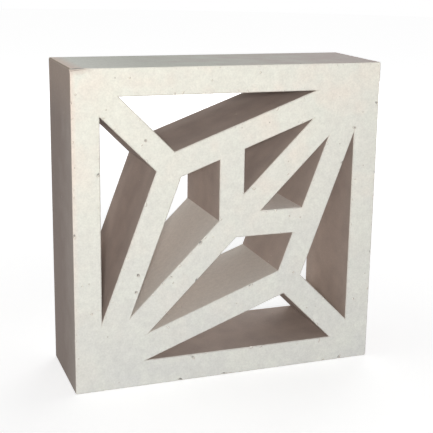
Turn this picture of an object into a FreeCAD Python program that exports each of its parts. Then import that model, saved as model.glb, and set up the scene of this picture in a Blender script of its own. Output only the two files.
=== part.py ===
"""Decorative concrete screen block: a square cast block pierced by a leaf pattern of straight bars.

The block stands on its lower edge. X runs across the face, Y from the front face to the back face and Z up.
The origin is at the middle of the underside. Millimetres.
"""

import FreeCAD
import Part
import Sketcher
import math
import os

# Driving dimensions of the block: name, millimetres, what it measures.
DIMENSIONS = [
    ("face_side", 295, "side of the square face"),
    ("block_depth", 95, "front face to back face"),
    ("frame_width", 25, "solid border round the pattern"),
    ("bar_width", 24, "every bar of the pattern, seen from the front"),
    ("fork_reach", 82, "face centre to where a corner bar forks, along a diagonal"),
    ("tip_inset", 30, "face corner to the leaf's tip, along the other diagonal"),
    ("outer_arris", 1.5, "rounding of the block's outer edges"),
    ("mouth_arris", 0.8, "chamfer round the mouths of the openings"),
]
BLOCK_NAME = "screen_block"
PARTS_FOLDER = "parts"
X_AXIS, Y_AXIS = range(-1, -3, -1)  # a sketch's own axes, as its constraints number them
START, END = range(1, 3)  # the two ends of a sketch line, likewise
ROUNDING = 1e-6  # share of a size or a volume that may be lost to rounding


def make_sheet(doc):
    """The spreadsheet of driving dimensions, one aliased row for each."""
    sheet = doc.addObject("Spreadsheet::Sheet", "sizes")
    for row, (alias, size, meaning) in enumerate(DIMENSIONS, start=1):
        sheet.set(f"A{row}", meaning)
        sheet.set(f"B{row}", str(size))
        sheet.setAlias(f"B{row}", alias)
    doc.recompute()
    return sheet


def face_sketch(body, name):
    """A sketch on the upright plane through the middle of the block's depth, with X across and Y up."""
    sketch = body.newObject("Sketcher::SketchObject", name)
    plane = next(p for p in body.Origin.OriginFeatures if p.Role == "XZ_Plane")
    sketch.AttachmentSupport = [(plane, "")]
    sketch.MapMode = "FlatFace"
    return sketch


def draw_line(sketch, start, end, construction=False):
    """Adds a line between two points of the sketch and gives its number."""
    line = Part.LineSegment(FreeCAD.Vector(*start, 0), FreeCAD.Vector(*end, 0))
    return sketch.addGeometry(line, construction)


def draw_loop(sketch, corners):
    """Adds a closed outline and gives its lines' numbers, one starting at each corner."""
    lines = [draw_line(sketch, a, b) for a, b in zip(corners, corners[1:] + corners[:1])]
    for line, following in zip(lines, lines[1:] + lines[:1]):
        sketch.addConstraint(Sketcher.Constraint("Coincident", line, END, following, START))
    return lines


def bind(sketch, constraint, formula):
    """Adds a constraint and ties its value to the sheet."""
    number = sketch.addConstraint(constraint)
    sketch.setExpression(f"Constraints[{number}]", formula)


def meeting_point(first, second):
    """Where two lines cross, each given as (normal, distance from the sketch's origin along it)."""
    (a, b), p = first
    (c, d), q = second
    span = a * d - b * c
    return ((p * d - q * b) / span, (a * q - c * p) / span)


def edge_beside(start, end, offset):
    """The line that runs beside start to end, offset to its left, as (normal, distance)."""
    length = math.dist(start, end)
    normal = ((start[1] - end[1]) / length, (end[0] - start[0]) / length)
    return normal, normal[0] * start[0] + normal[1] * start[1] + offset


def make_outline(body, sheet):
    """The square face, standing on the X axis and centred across it."""
    sketch = face_sketch(body, "face_outline")
    half, top = sheet.face_side / 2, sheet.face_side
    base, right, head, left = draw_loop(sketch, [(-half, 0), (half, 0), (half, top), (-half, top)])
    for line in (base, head):
        sketch.addConstraint(Sketcher.Constraint("Horizontal", line))
    for line in (right, left):
        sketch.addConstraint(Sketcher.Constraint("Vertical", line))
    sketch.addConstraint(Sketcher.Constraint("Symmetric", base, START, base, END, X_AXIS, START))
    bind(sketch, Sketcher.Constraint("Distance", base, sheet.face_side), "sizes.face_side")
    bind(sketch, Sketcher.Constraint("Distance", right, sheet.face_side), "sizes.face_side")
    return sketch


def make_openings(body, sheet):
    """The four openings above the midrib: two beside the upper corner bar and two inside the leaf.

    The first construction line is the midrib, tip to tip. Each opening's corner is set by its distance
    from the centre lines of the bars, or from the edge of the face, that meet there.
    """
    sketch = face_sketch(body, "upper_openings")
    half_bar = sheet.bar_width / 2
    middle = sheet.face_side / 2
    tip_out = middle - sheet.tip_inset * math.sqrt(0.5)
    fork_out = sheet.fork_reach * math.sqrt(0.5)
    low_tip, high_tip = (-tip_out, middle - tip_out), (tip_out, middle + tip_out)
    fork, centre = (-fork_out, middle + fork_out), (0, middle)

    midrib = draw_line(sketch, low_tip, high_tip, construction=True)
    corner_bar = draw_line(sketch, centre, fork, construction=True)
    top_bar = draw_line(sketch, fork, high_tip, construction=True)
    side_bar = draw_line(sketch, low_tip, fork, construction=True)
    for a, a_end, b, b_end in (
        (corner_bar, END, top_bar, START),
        (top_bar, END, midrib, END),
        (side_bar, START, midrib, START),
        (side_bar, END, corner_bar, END),
    ):
        sketch.addConstraint(Sketcher.Constraint("Coincident", a, a_end, b, b_end))
    sketch.addConstraint(Sketcher.Constraint("PointOnObject", corner_bar, START, Y_AXIS))
    sketch.addConstraint(Sketcher.Constraint("Symmetric", midrib, START, midrib, END, corner_bar, START))
    sketch.addConstraint(Sketcher.Constraint("Perpendicular", midrib, corner_bar))
    sketch.addConstraint(Sketcher.Constraint("Angle", midrib, math.radians(45)))
    centre_height = Sketcher.Constraint("DistanceY", X_AXIS, START, corner_bar, START, middle)
    bind(sketch, centre_height, "sizes.face_side / 2")
    bind(sketch, Sketcher.Constraint("Distance", corner_bar, sheet.fork_reach), "sizes.fork_reach")
    tip_to_tip = Sketcher.Constraint("Distance", midrib, math.dist(low_tip, high_tip))
    bind(sketch, tip_to_tip, "sqrt(2) * sizes.face_side - 2 * sizes.tip_inset")

    # Edges of the bars, each as (normal, distance), for the corners' first positions.
    frame_edge = ((0, 1), sheet.face_side - sheet.frame_width)
    corner_edge = edge_beside(centre, fork, -half_bar)
    leaf_top, leaf_side = edge_beside(fork, high_tip, half_bar), edge_beside(low_tip, fork, -half_bar)
    inner_top = edge_beside(fork, high_tip, -half_bar)
    midrib_edge = edge_beside(low_tip, high_tip, half_bar)
    rib_left, rib_right = ((1, 0), -half_bar), ((1, 0), half_bar)

    def beside(line, bar):
        """Holds a corner half a bar's width from that bar's centre line."""
        distance = Sketcher.Constraint("Distance", line, START, bar, half_bar)
        bind(sketch, distance, "sizes.bar_width / 2")

    def beside_rib(line, side):
        """Holds a corner half a bar's width from the upright rib, on the face's own centre line."""
        distance = Sketcher.Constraint("DistanceX", X_AXIS, START, line, START, side * half_bar)
        bind(sketch, distance, f"{side} * sizes.bar_width / 2")

    def under_frame(line):
        """Holds a corner on the inner edge of the top border."""
        distance = Sketcher.Constraint("DistanceY", X_AXIS, START, line, START, frame_edge[1])
        bind(sketch, distance, "sizes.face_side - sizes.frame_width")

    # Top opening: corner bar, leaf's upper edge bar, top border.
    top_corners = [
        meeting_point(frame_edge, corner_edge),
        meeting_point(corner_edge, leaf_top),
        meeting_point(leaf_top, frame_edge),
    ]
    top_lines = draw_loop(sketch, top_corners)
    by_corner, by_fork, by_tip = top_lines
    under_frame(by_corner)
    beside(by_corner, corner_bar)
    beside(by_fork, corner_bar)
    beside(by_fork, top_bar)
    beside(by_tip, top_bar)
    under_frame(by_tip)

    # Side opening: the top opening's reflection in the corner bar.
    side_corners = [(middle - z, middle - x) for x, z in top_corners]
    side_lines = draw_loop(sketch, side_corners)
    for line, twin in zip(top_lines, side_lines):
        sketch.addConstraint(Sketcher.Constraint("Symmetric", line, START, twin, START, corner_bar))

    # Wide leaf opening: upper edge bar, upright rib, midrib, side edge bar.
    wide_edges = [inner_top, rib_left, midrib_edge, leaf_side]
    corners = [meeting_point(a, b) for a, b in zip(wide_edges[-1:] + wide_edges, wide_edges)]
    by_fork, by_rib_top, by_rib_foot, by_tip = draw_loop(sketch, corners)
    beside(by_fork, side_bar)
    beside(by_fork, top_bar)
    beside(by_rib_top, top_bar)
    beside_rib(by_rib_top, -1)
    beside_rib(by_rib_foot, -1)
    beside(by_rib_foot, midrib)
    beside(by_tip, midrib)
    beside(by_tip, side_bar)

    # Narrow leaf opening: upper edge bar, midrib, upright rib.
    narrow_edges = [inner_top, midrib_edge, rib_right]
    corners = [meeting_point(a, b) for a, b in zip(narrow_edges[-1:] + narrow_edges, narrow_edges)]
    by_rib_top, by_tip, by_rib_foot = draw_loop(sketch, corners)
    beside_rib(by_rib_top, 1)
    beside(by_rib_top, top_bar)
    beside(by_tip, top_bar)
    beside(by_tip, midrib)
    beside(by_rib_foot, midrib)
    beside_rib(by_rib_foot, 1)
    return sketch


def outer_edges(shape, sheet):
    """Names of the edges that lie along the outside of the plain block, all twelve."""
    return [f"Edge{n}" for n, edge in enumerate(shape.Edges, start=1) if edge.Length > sheet.outer_arris]


def mouth_edges(shape, sheet):
    """Names of the edges where the openings meet the front and back faces."""
    half_depth, half_face = sheet.block_depth / 2, sheet.face_side / 2
    slack = ROUNDING * sheet.face_side
    border_middle = half_face - sheet.frame_width / 2
    names = []
    for n, edge in enumerate(shape.Edges, start=1):
        box = edge.BoundBox
        on_front_or_back = all(abs(abs(y) - half_depth) < slack for y in (box.YMin, box.YMax))
        reach = max(abs(box.XMin), abs(box.XMax), abs(box.ZMin - half_face), abs(box.ZMax - half_face))
        if on_front_or_back and box.YLength < slack and reach < border_middle:
            names.append(f"Edge{n}")
    return names


def check_cut(before, after, area, sheet):
    """Stops the build if a cut through the block took away less, or more, than the openings hold."""
    expected = area * sheet.block_depth
    cut = before.Volume - after.Volume
    if abs(cut - expected) > ROUNDING * before.Volume:
        raise RuntimeError(f"cut {cut:.1f} mm3 where the openings hold {expected:.1f}")


def make_block(doc, sheet):
    """The block: a square prism with rounded arrises, cut through by openings on each side of the midrib."""
    body = doc.addObject("PartDesign::Body", BLOCK_NAME)
    body.Label = BLOCK_NAME

    prism = body.newObject("PartDesign::Pad", "plain_block")
    prism.Profile = make_outline(body, sheet)
    prism.SideType = "Symmetric"
    prism.setExpression("Length", "sizes.block_depth")
    doc.recompute()

    rounded = body.newObject("PartDesign::Fillet", "outer_arrises")
    rounded.Base = (prism, outer_edges(prism.Shape, sheet))
    rounded.setExpression("Radius", "sizes.outer_arris")
    doc.recompute()

    upper = body.newObject("PartDesign::Pocket", "upper_cut")
    upper.Profile = make_openings(body, sheet)
    upper.Type = "ThroughAll"
    upper.SideType = "Symmetric"
    doc.recompute()
    upper_area = sum(Part.Face(wire).Area for wire in upper.Profile[0].Shape.Wires)
    check_cut(rounded.Shape, upper.Shape, upper_area, sheet)

    pierced = body.newObject("PartDesign::Mirrored", "lower_cut")
    pierced.Originals = [upper]
    pierced.MirrorPlane = (upper.Profile[0], ["Axis0"])
    body.Tip = pierced
    doc.recompute()
    check_cut(upper.Shape, pierced.Shape, upper_area, sheet)

    eased = body.newObject("PartDesign::Chamfer", "mouth_arrises")
    eased.Base = (pierced, mouth_edges(pierced.Shape, sheet))
    eased.setExpression("Size", "sizes.mouth_arris")
    body.Tip = eased
    doc.recompute()
    return body


def check_document(doc, body):
    """Stops the build if any feature failed or the block isn't one valid solid."""
    failed = [o.Label for o in doc.Objects if "Invalid" in o.State or "Error" in o.State]
    if failed:
        raise RuntimeError(f"failed features: {failed}")
    if body.Shape.isNull() or not body.Shape.isValid() or len(body.Shape.Solids) != 1:
        raise RuntimeError("the block is not one valid solid")


def main():
    doc = FreeCAD.newDocument(BLOCK_NAME)
    body = make_block(doc, make_sheet(doc))
    check_document(doc, body)
    os.makedirs(PARTS_FOLDER, exist_ok=True)
    body.Shape.exportStep(os.path.join(PARTS_FOLDER, f"{body.Label}.step"))
    litres = body.Shape.Volume / 1e6
    print(f"{body.Label}: {litres:.3f} litres, {len(body.Shape.Faces)} faces")


main()
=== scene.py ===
"""The looks of a cast concrete screen block: worn arrises, air holes and the cement's own colours."""

import bmesh
import bpy
import math
from mathutils import Matrix, Vector


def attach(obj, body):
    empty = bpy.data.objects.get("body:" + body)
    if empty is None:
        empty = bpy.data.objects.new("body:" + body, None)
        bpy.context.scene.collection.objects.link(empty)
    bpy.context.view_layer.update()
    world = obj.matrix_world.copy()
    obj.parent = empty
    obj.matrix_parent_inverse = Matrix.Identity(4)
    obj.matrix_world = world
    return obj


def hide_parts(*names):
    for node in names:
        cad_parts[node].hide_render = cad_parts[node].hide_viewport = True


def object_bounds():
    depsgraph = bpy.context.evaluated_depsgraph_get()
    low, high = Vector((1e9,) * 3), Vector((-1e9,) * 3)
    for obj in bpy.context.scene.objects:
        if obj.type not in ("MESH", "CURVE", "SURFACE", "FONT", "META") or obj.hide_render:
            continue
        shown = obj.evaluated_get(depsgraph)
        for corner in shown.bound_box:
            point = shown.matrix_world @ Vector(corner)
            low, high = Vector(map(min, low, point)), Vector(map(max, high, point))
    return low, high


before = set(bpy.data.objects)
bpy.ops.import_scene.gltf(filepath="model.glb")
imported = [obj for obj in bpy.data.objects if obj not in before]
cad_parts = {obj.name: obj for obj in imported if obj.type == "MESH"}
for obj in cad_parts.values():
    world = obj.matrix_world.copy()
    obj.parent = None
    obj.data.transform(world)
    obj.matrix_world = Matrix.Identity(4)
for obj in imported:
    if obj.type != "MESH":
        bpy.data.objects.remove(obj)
cad_low, cad_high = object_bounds()

# The cast block
# One piece of fine-sand white concrete, cast in an oiled steel mould with a core for each opening.
# The mesh starts as the solid, welded shut, with each arris marked along the flat face it borders.
MM = 0.001
WELD = 0.01 * MM
SQUARE_ON = 0.9999

shell = bmesh.new()
shell.from_mesh(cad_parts["screen_block"].data)
bmesh.ops.remove_doubles(shell, verts=shell.verts, dist=WELD)
arris = shell.edges.layers.bool.new("arris")
for edge in shell.edges:
    if not (edge.is_manifold and edge.is_convex):
        continue
    first, second = (side.normal for side in edge.link_faces)
    along = (edge.verts[1].co - edge.verts[0].co).normalized()
    borders_face = (abs(first.y) > SQUARE_ON) != (abs(second.y) > SQUARE_ON)
    borders_bed = (abs(first.z) > SQUARE_ON) != (abs(second.z) > SQUARE_ON)
    edge[arris] = borders_face or (borders_bed and abs(along.y) > SQUARE_ON)
block_mesh = bpy.data.meshes.new("cast_block")
shell.to_mesh(block_mesh)
shell.free()
block = bpy.data.objects.new("cast_block", block_mesh)
bpy.context.scene.collection.objects.link(block)
cement = bpy.data.materials.new("fine_sand_white_cement")
block_mesh.materials.append(cement)

# Worn arrises
# Handling knocks flakes off the sharp edges of cast cement, each a shallow scoop along the arris, mostly
# under a millimetre deep, with clean stretches between. The front's upper left corner has had a harder
# knock, which ran out along the top.
flakes = {
    "Flake Spacing": 7.0 * MM,
    "Least Gap": 5.5 * MM,
    "Most Slide": 0.4,
    "Smallest Flake": 0.3 * MM,
    "Largest Flake": 1.4 * MM,
    "Length To Width": 2.2,
    "Few Large": 2.8,
    "Clean Share": 0.35,
    "Most Tilt": 0.3,
    "Seed": 11,
}
CORNER_KNOCK = (  # across, to the back, up and radius, in millimetres, from its start to its end
    (-148.3, -48.0, 295.7, 3.4), (-141.0, -48.1, 295.7, 2.1), (-127.0, -47.9, 295.4, 0.9),
)
ROUNDNESS = 2


def add(tree, kind, feeds=None, **settings):
    """Adds a node with its settings. Each feed is an input, by name or place, and what goes into it:
    a node, whose first live output is taken, an output, or a plain value."""
    node = tree.nodes.new(kind)
    for name, value in settings.items():
        setattr(node, name, value)
    for name, source in (feeds or {}).items():
        live = [socket for socket in node.inputs if socket.enabled and socket.name == name]
        socket = live[0] if live else node.inputs[name]
        if isinstance(source, bpy.types.Node):
            source = next(socket for socket in source.outputs if socket.enabled)
        if isinstance(source, bpy.types.NodeSocket):
            tree.links.new(source, socket)
        else:
            socket.default_value = source
    return node


def start_tree(name, sizes):
    """Starts a tree of Geometry Nodes that changes the block, with a named input for each size."""
    kinds = {float: "NodeSocketFloat", int: "NodeSocketInt", bpy.types.Object: "NodeSocketObject"}
    tree = bpy.data.node_groups.new(name, "GeometryNodeTree")
    tree.interface.new_socket("Block", in_out="INPUT", socket_type="NodeSocketGeometry")
    for size, value in sizes.items():
        tree.interface.new_socket(size, in_out="INPUT", socket_type=kinds[type(value)])
    tree.interface.new_socket("Block", in_out="OUTPUT", socket_type="NodeSocketGeometry")
    return tree, add(tree, "NodeGroupInput").outputs


def run_tree(tree, sizes, last):
    """Ends the tree in its last node and the cement, runs it and keeps the block as a plain mesh."""
    whole = add(tree, "GeometryNodeRealizeInstances", {"Geometry": last})
    dressed = add(tree, "GeometryNodeSetMaterial", {"Geometry": whole, "Material": cement})
    add(tree, "NodeGroupOutput", {"Block": dressed})
    modifier = block.modifiers.new(tree.name, "NODES")
    modifier.node_group = tree
    for item in tree.interface.items_tree:
        if item.name in sizes:
            modifier[item.identifier] = sizes[item.name]
    depsgraph = bpy.context.evaluated_depsgraph_get()
    block.data = bpy.data.meshes.new_from_object(block.evaluated_get(depsgraph), depsgraph=depsgraph)
    block.modifiers.remove(modifier)


def placed_points(name, spots):
    """An object of points, each with the radius of what is cut there, for a tree to read."""
    mesh = bpy.data.meshes.new(name)
    mesh.from_pydata([Vector(spot[:3]) * MM for spot in spots], [], [])
    mesh.attributes.new("cut_radius", "FLOAT", "POINT")
    mesh.attributes["cut_radius"].data.foreach_set("value", [spot[3] * MM for spot in spots])
    points = bpy.data.objects.new(name, mesh)
    bpy.context.scene.collection.objects.link(points)
    return points


flakes["Corner Knock"] = placed_points("corner_knock", CORNER_KNOCK)
tree, size = start_tree("worn_arrises", flakes)
marked = add(tree, "GeometryNodeInputNamedAttribute", {"Name": "arris"}, data_type="BOOLEAN")
lines = add(tree, "GeometryNodeMeshToCurve", {"Mesh": size["Block"], "Selection": marked})
spots = add(
    tree, "GeometryNodeCurveToPoints", {"Curve": lines, "Length": size["Flake Spacing"]}, mode="LENGTH"
)
back = add(tree, "ShaderNodeMath", {0: size["Most Slide"], 1: -1.0}, operation="MULTIPLY")
slide = add(tree, "FunctionNodeRandomValue", {"Min": back, "Max": size["Most Slide"], "Seed": size["Seed"]})
slide = add(tree, "ShaderNodeMath", {0: slide, 1: size["Flake Spacing"]}, operation="MULTIPLY")
slide = add(
    tree, "ShaderNodeVectorMath", {"Vector": spots.outputs["Tangent"], "Scale": slide}, operation="SCALE"
)
spread = add(tree, "GeometryNodeSetPosition", {"Geometry": spots.outputs["Points"], "Offset": slide})
apart = add(tree, "GeometryNodeMergeByDistance", {"Geometry": spread, "Distance": size["Least Gap"]})
clean = add(
    tree,
    "FunctionNodeRandomValue",
    {"Probability": size["Clean Share"], "Seed": size["Seed"]},
    data_type="BOOLEAN",
)
struck = add(tree, "GeometryNodeDeleteGeometry", {"Geometry": apart, "Selection": clean}, domain="POINT")
chance = add(tree, "FunctionNodeRandomValue", {"Seed": size["Seed"]})
chance = add(tree, "ShaderNodeMath", {0: chance, 1: size["Few Large"]}, operation="POWER")
width = add(
    tree,
    "ShaderNodeMapRange",
    {"Value": chance, "To Min": size["Smallest Flake"], "To Max": size["Largest Flake"]},
)
length = add(tree, "ShaderNodeMath", {0: width, 1: size["Length To Width"]}, operation="MULTIPLY")
scale = add(tree, "ShaderNodeCombineXYZ", {"X": width, "Y": width, "Z": length})
flake = add(tree, "GeometryNodeMeshIcoSphere", {"Subdivisions": ROUNDNESS})
scoops = add(
    tree,
    "GeometryNodeInstanceOnPoints",
    {"Points": struck, "Instance": flake, "Rotation": spots.outputs["Rotation"], "Scale": scale},
)
back = add(tree, "ShaderNodeMath", {0: size["Most Tilt"], 1: -1.0}, operation="MULTIPLY")
turn = add(
    tree,
    "FunctionNodeRandomValue",
    {
        "Min": add(tree, "ShaderNodeCombineXYZ", {"X": back, "Y": back}),
        "Max": add(
            tree, "ShaderNodeCombineXYZ", {"X": size["Most Tilt"], "Y": size["Most Tilt"], "Z": math.tau}
        ),
        "Seed": size["Seed"],
    },
    data_type="FLOAT_VECTOR",
)
scoops = add(tree, "GeometryNodeRotateInstances", {"Instances": scoops, "Rotation": turn})
scoops = add(tree, "GeometryNodeRealizeInstances", {"Geometry": scoops})
course = add(tree, "GeometryNodeObjectInfo", {"Object": size["Corner Knock"]})
course = add(tree, "GeometryNodeMeshToPoints", {"Mesh": course.outputs["Geometry"]})
radius = add(tree, "GeometryNodeInputNamedAttribute", {"Name": "cut_radius"}, data_type="FLOAT")
knock = add(tree, "GeometryNodeInstanceOnPoints", {"Points": course, "Instance": flake, "Scale": radius})
knock = add(tree, "GeometryNodeRealizeInstances", {"Geometry": knock})
knock = add(tree, "GeometryNodeConvexHull", {"Geometry": knock})
worn = add(
    tree,
    "GeometryNodeMeshBoolean",
    {"Mesh 1": size["Block"], "Mesh 2": scoops},
    operation="DIFFERENCE",
    solver="MANIFOLD",
)
tree.links.new(knock.outputs["Convex Hull"], worn.inputs["Mesh 2"])
run_tree(tree, flakes, worn)
bpy.data.objects.remove(flakes["Corner Knock"])

# Air holes
# Bubbles held against the mould leave small round holes in the cement. The front face has the ones
# listed, each placed by its distance from the middle and its height. Others are scattered over every
# side of the block as cast, so that they lie in the same places whatever the flakes took.
FRONT_HOLES = (  # across, up, radius, in millimetres
    (-96, 286, 0.9), (-21, 282, 0.9), (25, 288, 1.0), (-82, 231, 1.4), (-85, 227, 0.8), (-143, 273, 0.9),
    (58, 152, 1.0), (69, 150, 0.9), (-89, 108, 1.6), (-91, 92, 1.5), (-85, 100, 0.9), (-18, 138, 0.8),
    (-132, 76, 1.2), (-140, 103, 0.8), (130, 62, 1.1), (71, 23, 1.2), (64, 96, 1.0), (123, 101, 0.8),
)
cast = bpy.data.objects.new("block_as_cast", block_mesh)
bpy.context.scene.collection.objects.link(cast)
bubbles = {
    "Block As Cast": cast,
    "Placed Holes": placed_points(
        "front_holes", [(x, cad_low.y / MM, z, radius) for x, z, radius in FRONT_HOLES]
    ),
    "Least Gap": 4.0 * MM,
    "Holes Per Square Metre": 900.0,
    "Smallest Hole": 0.25 * MM,
    "Largest Hole": 1.0 * MM,
    "Few Large": 3.0,
    "Seed": 5,
}
SLIVER = 0.002 * MM
LEFT_OVER = ("arris", "cut_radius", "id", "custom_normal")

tree, size = start_tree("air_holes", bubbles)
as_cast = add(tree, "GeometryNodeObjectInfo", {"Object": size["Block As Cast"]}).outputs["Geometry"]
scattered = add(
    tree,
    "GeometryNodeDistributePointsOnFaces",
    {
        "Mesh": as_cast,
        "Distance Min": size["Least Gap"],
        "Density Max": size["Holes Per Square Metre"],
        "Seed": size["Seed"],
    },
    distribute_method="POISSON",
)
chance = add(tree, "FunctionNodeRandomValue", {"Seed": size["Seed"]})
chance = add(tree, "ShaderNodeMath", {0: chance, 1: size["Few Large"]}, operation="POWER")
radius = add(
    tree,
    "ShaderNodeMapRange",
    {"Value": chance, "To Min": size["Smallest Hole"], "To Max": size["Largest Hole"]},
)
scattered = add(
    tree,
    "GeometryNodeStoreNamedAttribute",
    {"Geometry": scattered, "Name": "cut_radius", "Value": radius},
    data_type="FLOAT",
    domain="POINT",
)
placed = add(tree, "GeometryNodeObjectInfo", {"Object": size["Placed Holes"]})
placed = add(tree, "GeometryNodeMeshToPoints", {"Mesh": placed.outputs["Geometry"]})
places = add(tree, "GeometryNodeJoinGeometry", {"Geometry": placed})
tree.links.new(scattered.outputs["Geometry"], places.inputs["Geometry"])
apart = add(tree, "GeometryNodeMergeByDistance", {"Geometry": places, "Distance": size["Least Gap"]})
radius = add(tree, "GeometryNodeInputNamedAttribute", {"Name": "cut_radius"}, data_type="FLOAT")
turn = add(
    tree,
    "FunctionNodeRandomValue",
    {"Max": (math.tau, math.tau, math.tau), "Seed": size["Seed"]},
    data_type="FLOAT_VECTOR",
)
bubble = add(tree, "GeometryNodeMeshIcoSphere", {"Subdivisions": ROUNDNESS})
holes = add(
    tree,
    "GeometryNodeInstanceOnPoints",
    {"Points": apart, "Instance": bubble, "Rotation": turn, "Scale": radius},
)
holes = add(tree, "GeometryNodeRealizeInstances", {"Geometry": holes})
pierced = add(
    tree,
    "GeometryNodeMeshBoolean",
    {"Mesh 1": size["Block"], "Mesh 2": holes},
    operation="DIFFERENCE",
    solver="MANIFOLD",
)
run_tree(tree, bubbles, pierced)
bpy.data.objects.remove(bubbles["Placed Holes"])
bpy.data.objects.remove(cast)

# A weld can lose a face with many corners, so the cut faces become triangles first.
cut = bmesh.new()
cut.from_mesh(block.data)
bmesh.ops.triangulate(cut, faces=cut.faces)
bmesh.ops.remove_doubles(cut, verts=cut.verts, dist=SLIVER)
cut.to_mesh(block.data)
cut.free()
for name in LEFT_OVER:
    if name in block.data.attributes:
        block.data.attributes.remove(block.data.attributes[name])
block.data.shade_flat()
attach(block, "root")
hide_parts("screen_block")

# The cement's surface
# Fine-sand white cement, bare and matt. The rubbed faces are off-white, cream at the top, greyer below,
# mostly a painted falloff of light with a share of random cloud. The ends and the openings are painted darker
# and browner, partly a mould-oil tint and partly painted shade, and the leaf's own sills are painted lighter,
# a painted pool of light. The top was scraped level, chalky at one end. Sand grain breaks up every tone, and
# the deepest holes are painted dark, a painted shade.
# The faces' cream and cool grey also carry a painted falloff of light. The wall and end tones are darker than
# the faces', partly a mould-oil tint and partly painted shade; the two sill tones are painted light, and the
# hole tone is painted shade.
CREAM, COOL_GREY, GREENISH, PINKISH, RUBBED = "#e8e5d8", "#cfcfcb", "#dfe1d6", "#eaddd0", "#ead3c4"
OILED_AND_SHADED_PALE, OILED_AND_SHADED_DARK, PAINTED_SILL_LIGHT, PAINTED_LEVEL_SILL_LIGHT = "#b8a79c", "#aa9a90", "#dfd7cd", "#f4ece3"
END_FRONT, END_REAR, END_TOP = "#a89c94", "#92847c", "#ac9b8f"
SCRAPED, SCRAPED_FAR, CHALKY = "#d0d1c7", "#c2b5af", "#ecede5"
ARRIS_DIRT, SMEAR, SPECK, HOLE_SHADE = "#988979", "#d3c4b7", "#b9b1a6", "#85837f"
# Sizes of the patterns, in millimetres. Sand of half a millimetre wouldn't show in the render, so it is
# drawn three times as coarse.
CLOUD, BLUSH, PATCH, MOTTLE, DRAWN_SAND = 75, 34, 20, 5, 1.6
SPECK_SPACING, SPECK_EDGE, SPECK_CORE, SPECK_RARITY = 9, 0.8, 0.45, 0.72
PATTERN_LOW, PATTERN_HIGH = 0.25, 0.75
MOTTLE_SWING, SAND_SWING = 0.05, 0.06
STAIN_FROM, STAIN_TO = 0.5, 1.25
SCRAPE_FROM, SCRAPE_TO = 0.8, 1.5
UP_AND_LEFT = (-0.2, 0.0, 1.0)
CLOUD_SHARE = 0.25
SMEAR_AT, SMEAR_REACH = Vector((-143, -47.5, 294)) * MM, Vector((16, 6, 5)) * MM
SMEAR_EDGE, SMEAR_CORE, SMEAR_SHARE = 1.6, 0.9, 0.6
CEMENT_IOR, SMOOTHEST, ROUGHEST = 1.55, 0.82, 0.98
RELIEF_STRENGTH, RELIEF_DEPTH = 0.5, 0.25 * MM


def linear(colour):
    """An sRGB hex colour as linear red, green and blue, with full alpha."""
    shares = [int(colour[i:i + 2], 16) / 255 for i in (1, 3, 5)]
    return [c / 12.92 if c <= 0.04045 else ((c + 0.055) / 1.055) ** 2.4 for c in shares] + [1.0]


cement.use_nodes = True
tree = cement.node_tree
tree.nodes.clear()
place = add(tree, "ShaderNodeTexCoord").outputs
facing = add(tree, "ShaderNodeSeparateXYZ", {"Vector": place["Normal"]}).outputs
at = add(tree, "ShaderNodeSeparateXYZ", {"Vector": place["Object"]}).outputs
outward, inward, square_on = (
    add(tree, "ShaderNodeMath", {0: value}, operation="ABSOLUTE") for value in (at["X"], at["Y"], facing["Y"])
)
height = add(tree, "ShaderNodeVectorMath", {0: place["Object"], 1: UP_AND_LEFT}, operation="DOT_PRODUCT")
height = height.outputs["Value"]
clouds, blush, patches, mottle, sand = (
    add(
        tree,
        "ShaderNodeTexNoise",
        {"Vector": place["Object"], "Scale": 1 / (millimetres * MM), "Detail": detail},
    )
    for millimetres, detail in ((CLOUD, 2.0), (BLUSH, 2.0), (PATCH, 3.0), (MOTTLE, 3.0), (DRAWN_SAND, 2.0))
)

# Where each tone lies: what it goes by, where it starts, where it is full, and its share there.
lies = {
    name: add(
        tree, "ShaderNodeMapRange", {"Value": value, "From Min": start, "From Max": full, "To Max": most}
    )
    for name, value, start, full, most in (
        ("upper half", height, 0.0, cad_high.z, 1.0),
        ("warm cloud", clouds, 0.3, 0.7, 1.0),
        ("green patch", patches, 0.45, 0.75, 0.4),
        ("pink blush", blush, 0.5, 0.72, 0.6),
        ("rubbed arris", at["X"], cad_low.x + 5 * MM, cad_low.x, 0.6),
        ("oil", patches, 0.3, 0.7, 1.0),
        ("rising", facing["Z"], 0.5, 0.7, 1.0),
        ("level", facing["Z"], 0.95, 0.99, 1.0),
        ("above the border", at["Z"], 32 * MM, 38 * MM, 1.0),
        ("below the ribs", at["Z"], 172 * MM, 166 * MM, 1.0),
        ("to the back", at["Y"], cad_low.y, cad_high.y / 2, 1.0),
        ("to the right", at["X"], cad_low.x, cad_high.x, 1.0),
        ("chalky end", at["X"], cad_low.x * 0.5, cad_low.x, 1.0),
        ("rubbed end of the top", at["X"], cad_low.x + 14 * MM, cad_low.x + 4 * MM, 0.7),
        ("upper end", at["Z"], cad_high.z - 50 * MM, cad_high.z - 12 * MM, 0.9),
        ("end", outward, cad_high.x - 1.5 * MM, cad_high.x - 0.5 * MM, 1.0),
        ("top", at["Z"], cad_high.z - 1.5 * MM, cad_high.z - 0.5 * MM, 1.0),
        ("deep", inward, cad_high.y - 1.05 * MM, cad_high.y - 1.25 * MM, 0.9),
        ("hole bottom", square_on, 0.72, 0.78, 1.0),
        ("square on", square_on, 0.35, 0.8, 1.0),
        ("face", inward, cad_high.y - 4 * MM, cad_high.y - 2 * MM, 1.0),
    )
}
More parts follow.
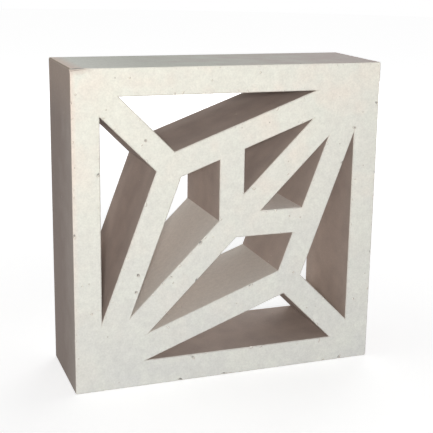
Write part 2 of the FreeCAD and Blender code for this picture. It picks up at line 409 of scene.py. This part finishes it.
# The faces turn from cool grey to cream towards the upper left: mostly a painted falloff of light, a quarter
# of it random cloud.
falloff_and_cloud = add(
    tree, "ShaderNodeMix", {"Factor": CLOUD_SHARE, "A": lies["upper half"], "B": lies["warm cloud"]}
)
blushed, rubbed, sill, on_arris, on_face, hole_shade_share = (
    add(tree, "ShaderNodeMath", {0: lies[first], 1: lies[second]}, operation="MULTIPLY")
    for first, second in (
        ("pink blush", "upper half"),
        ("rubbed arris", "upper half"),
        ("above the border", "below the ribs"),
        ("end", "top"),
        ("face", "square on"),
        ("deep", "hole bottom"),
    )
)
sill = add(tree, "ShaderNodeMath", {0: sill, 1: lies["rising"]}, operation="MULTIPLY")
hole_shade_share = add(tree, "ShaderNodeMath", {0: hole_shade_share, 1: lies["face"]}, operation="MULTIPLY")
stain, scrape = (
    add(tree, "ShaderNodeMath", {0: lies[name], 1: patches}, operation="ADD")
    for name in ("to the back", "to the right")
)
stain = add(tree, "ShaderNodeMapRange", {"Value": stain, "From Min": STAIN_FROM, "From Max": STAIN_TO})
scrape = add(
    tree, "ShaderNodeMapRange", {"Value": scrape, "From Min": SCRAPE_FROM, "From Max": SCRAPE_TO}
)

# The tones themselves, then each laid over the one before.
# The wall and end tones are darker and browner than the face's, partly a mould-oil tint and partly painted
# shade.
face, wall, sill_light, end, top = (
    add(tree, "ShaderNodeMix", {"Factor": share, "A": linear(start), "B": linear(full)}, data_type="RGBA")
    for share, start, full in (
        (falloff_and_cloud, COOL_GREY, CREAM),
        (lies["oil"], OILED_AND_SHADED_PALE, OILED_AND_SHADED_DARK),
        (lies["level"], PAINTED_SILL_LIGHT, PAINTED_LEVEL_SILL_LIGHT),
        (stain, END_FRONT, END_REAR),
        (scrape, SCRAPED, SCRAPED_FAR),
    )
)
for share, colour in ((lies["green patch"], GREENISH), (blushed, PINKISH), (rubbed, RUBBED)):
    face = add(tree, "ShaderNodeMix", {"Factor": share, "A": face, "B": linear(colour)}, data_type="RGBA")
for share, colour in ((lies["chalky end"], CHALKY), (lies["rubbed end of the top"], RUBBED)):
    top = add(tree, "ShaderNodeMix", {"Factor": share, "A": top, "B": linear(colour)}, data_type="RGBA")
end = add(
    tree, "ShaderNodeMix", {"Factor": lies["upper end"], "A": end, "B": linear(END_TOP)}, data_type="RGBA"
)
# The sills inside the leaf are painted lighter, a painted pool of light, the level ones most.
for share, colour in ((sill, sill_light), (lies["end"], end), (lies["top"], top), (on_arris, linear(ARRIS_DIRT))):
    wall = add(tree, "ShaderNodeMix", {"Factor": share, "A": wall, "B": colour}, data_type="RGBA")
skin = add(tree, "ShaderNodeMix", {"Factor": on_face, "A": wall, "B": face}, data_type="RGBA")

# The smear at the knocked corner, the mottle and sand, dark specks of sand, and painted shade in the deepest
# holes.
smear = add(tree, "ShaderNodeVectorMath", {0: place["Object"], 1: SMEAR_AT}, operation="SUBTRACT")
smear = add(tree, "ShaderNodeVectorMath", {0: smear, 1: SMEAR_REACH}, operation="DIVIDE")
smear = add(tree, "ShaderNodeVectorMath", {0: smear}, operation="LENGTH")
smear = add(tree, "ShaderNodeMath", {0: smear.outputs["Value"], 1: mottle}, operation="ADD")
smear = add(
    tree,
    "ShaderNodeMapRange",
    {"Value": smear, "From Min": SMEAR_EDGE, "From Max": SMEAR_CORE, "To Max": SMEAR_SHARE},
)
skin = add(tree, "ShaderNodeMix", {"Factor": smear, "A": skin, "B": linear(SMEAR)}, data_type="RGBA")
for pattern, swing in ((mottle, MOTTLE_SWING), (sand, SAND_SWING)):
    shade = add(
        tree,
        "ShaderNodeMapRange",
        {
            "Value": pattern,
            "From Min": PATTERN_LOW,
            "From Max": PATTERN_HIGH,
            "To Min": 1 - swing,
            "To Max": 1 + swing,
        },
    )
    skin = add(
        tree,
        "ShaderNodeMix",
        {"Factor": 1.0, "A": skin, "B": shade},
        data_type="RGBA",
        blend_type="MULTIPLY",
    )
grains = add(tree, "ShaderNodeTexVoronoi", {"Vector": place["Object"], "Scale": 1 / (SPECK_SPACING * MM)})
speck = add(
    tree,
    "ShaderNodeMapRange",
    {
        "Value": grains.outputs["Distance"],
        "From Min": SPECK_EDGE / SPECK_SPACING,
        "From Max": SPECK_CORE / SPECK_SPACING,
    },
)
dark = add(tree, "ShaderNodeMath", {0: grains.outputs["Color"], 1: SPECK_RARITY}, operation="GREATER_THAN")
speck = add(tree, "ShaderNodeMath", {0: speck, 1: dark}, operation="MULTIPLY")
# The deepest holes are painted dark, a painted shade.
for share, colour in ((speck, SPECK), (hole_shade_share, HOLE_SHADE)):
    skin = add(tree, "ShaderNodeMix", {"Factor": share, "A": skin, "B": linear(colour)}, data_type="RGBA")

rough = add(tree, "ShaderNodeMapRange", {"Value": mottle, "To Min": SMOOTHEST, "To Max": ROUGHEST})
relief = add(tree, "ShaderNodeMath", {0: mottle, 1: sand}, operation="ADD")
bump = add(tree, "ShaderNodeBump", {"Strength": RELIEF_STRENGTH, "Distance": RELIEF_DEPTH, "Height": relief})
look = add(
    tree,
    "ShaderNodeBsdfPrincipled",
    {"Base Color": skin, "Roughness": rough, "Normal": bump, "IOR": CEMENT_IOR},
)
add(tree, "ShaderNodeOutputMaterial", {"Surface": look})

# The floor
# A wide sheet of pale matt paper under the block. Seen straight on or in a reflection it glows a little, more
# so further out, so that it runs into the white background, and it keeps the block's soft shadow.
PAPER, WHITE = "#d8d8d8", "#ffffff"
FLOOR_RADIUS, FLOOR_SIDES = 6.0, 64
GLOW_FROM, GLOW_TO = 0.25, 1.5
NEAR_GLOW, FAR_GLOW = 0.56, 0.85

floor_mesh = bpy.data.meshes.new("floor")
disc = bmesh.new()
bmesh.ops.create_circle(disc, cap_ends=True, radius=FLOOR_RADIUS, segments=FLOOR_SIDES)
disc.to_mesh(floor_mesh)
disc.free()
floor = bpy.data.objects.new("floor", floor_mesh)
bpy.context.scene.collection.objects.link(floor)
paper = bpy.data.materials.new("pale_matt_paper")
paper.use_nodes = True
tree = paper.node_tree
tree.nodes.clear()
ray = add(tree, "ShaderNodeLightPath").outputs
seen = add(tree, "ShaderNodeMath", {0: ray["Is Camera Ray"], 1: ray["Is Glossy Ray"]}, operation="MAXIMUM")
seen = add(tree, "ShaderNodeMath", {0: seen, 1: ray["Is Transmission Ray"]}, operation="MAXIMUM")
place = add(tree, "ShaderNodeTexCoord").outputs
out = add(tree, "ShaderNodeVectorMath", {0: place["Object"]}, operation="LENGTH")
glow = add(
    tree,
    "ShaderNodeMapRange",
    {
        "Value": out.outputs["Value"],
        "From Min": GLOW_FROM,
        "From Max": GLOW_TO,
        "To Min": NEAR_GLOW,
        "To Max": FAR_GLOW,
    },
)
glow = add(tree, "ShaderNodeMath", {0: glow, 1: seen}, operation="MULTIPLY")
glow = add(tree, "ShaderNodeEmission", {"Color": linear(WHITE), "Strength": glow})
matt = add(tree, "ShaderNodeBsdfDiffuse", {"Color": linear(PAPER)})
both = add(tree, "ShaderNodeAddShader", {0: matt, 1: glow})
add(tree, "ShaderNodeOutputMaterial", {"Surface": both})
floor_mesh.materials.append(paper)

# Studio light
# A white room of low, even light. The key lamp stands beside the camera, so it reaches the walls of the
# openings as the photo shows them, a wide lamp hangs overhead, and another lights the back and the far
# end.
ROOM_LIGHT = 0.19
LAMPS = (  # name, place, width and height in metres, and how bright it makes a white surface that faces it
    ("key", Vector((-0.6, -1.75, 0.58)), 0.25, 0.25, 0.72),
    ("overhead", Vector((-0.2, 0.35, 2.0)), 1.6, 1.6, 0.15),
    ("behind", Vector((1.3, 1.8, 0.5)), 1.4, 1.0, 0.6),
)

room = bpy.data.worlds.new("white_room")
room.use_nodes = True
bpy.context.scene.world = room
tree = room.node_tree
tree.nodes.clear()
ray = add(tree, "ShaderNodeLightPath").outputs
seen = add(tree, "ShaderNodeMath", {0: ray["Is Camera Ray"], 1: ray["Is Glossy Ray"]}, operation="MAXIMUM")
seen = add(tree, "ShaderNodeMath", {0: seen, 1: ray["Is Transmission Ray"]}, operation="MAXIMUM")
strength = add(tree, "ShaderNodeMapRange", {"Value": seen, "To Min": ROOM_LIGHT, "To Max": 1.0})
walls = add(tree, "ShaderNodeBackground", {"Color": linear(WHITE), "Strength": strength})
add(tree, "ShaderNodeOutputWorld", {"Surface": walls})
middle = (cad_low + cad_high) / 2
for name, stand, width, height, brightness in LAMPS:
    lamp = bpy.data.lights.new(name, "AREA")
    lamp.shape = "RECTANGLE"
    lamp.size, lamp.size_y = width, height
    away = stand - middle
    lamp.energy = brightness * math.pi ** 2 * away.length_squared
    light = bpy.data.objects.new(name, lamp)
    light.location = stand
    light.rotation_euler = away.to_track_quat("Z", "Y").to_euler()
    light.visible_camera = False
    bpy.context.scene.collection.objects.link(light)

# The camera
# It stands to the left of the block and a little above its top, and looks down. The lens is shifted by
# less than an exact fit to the photo would need, because the shift stays in every other view.
PICTURE_SIDE = 433
FOCAL_LENGTH, CENTRE_ACROSS = 997.3, 239.6
SHIFT_UP = -0.05
SENSOR = 36
EYE = Vector((-0.317, -0.87629, 0.39214))
FORWARD, UP = Vector((0.354137, 0.904932, -0.235977)), Vector((0.066142, 0.227462, 0.971538))

camera = bpy.data.cameras.new("photo_view")
camera.sensor_width = SENSOR
camera.lens = FOCAL_LENGTH * SENSOR / PICTURE_SIDE
camera.shift_x = 0.5 - CENTRE_ACROSS / PICTURE_SIDE
camera.shift_y = SHIFT_UP
eye = bpy.data.objects.new("photo_view", camera)
eye.location = EYE
eye.rotation_euler = Matrix((FORWARD.cross(UP), UP, -FORWARD)).transposed().to_euler()
bpy.context.scene.collection.objects.link(eye)
bpy.context.scene.camera = eye
bpy.context.scene.view_settings.view_transform = "Standard"
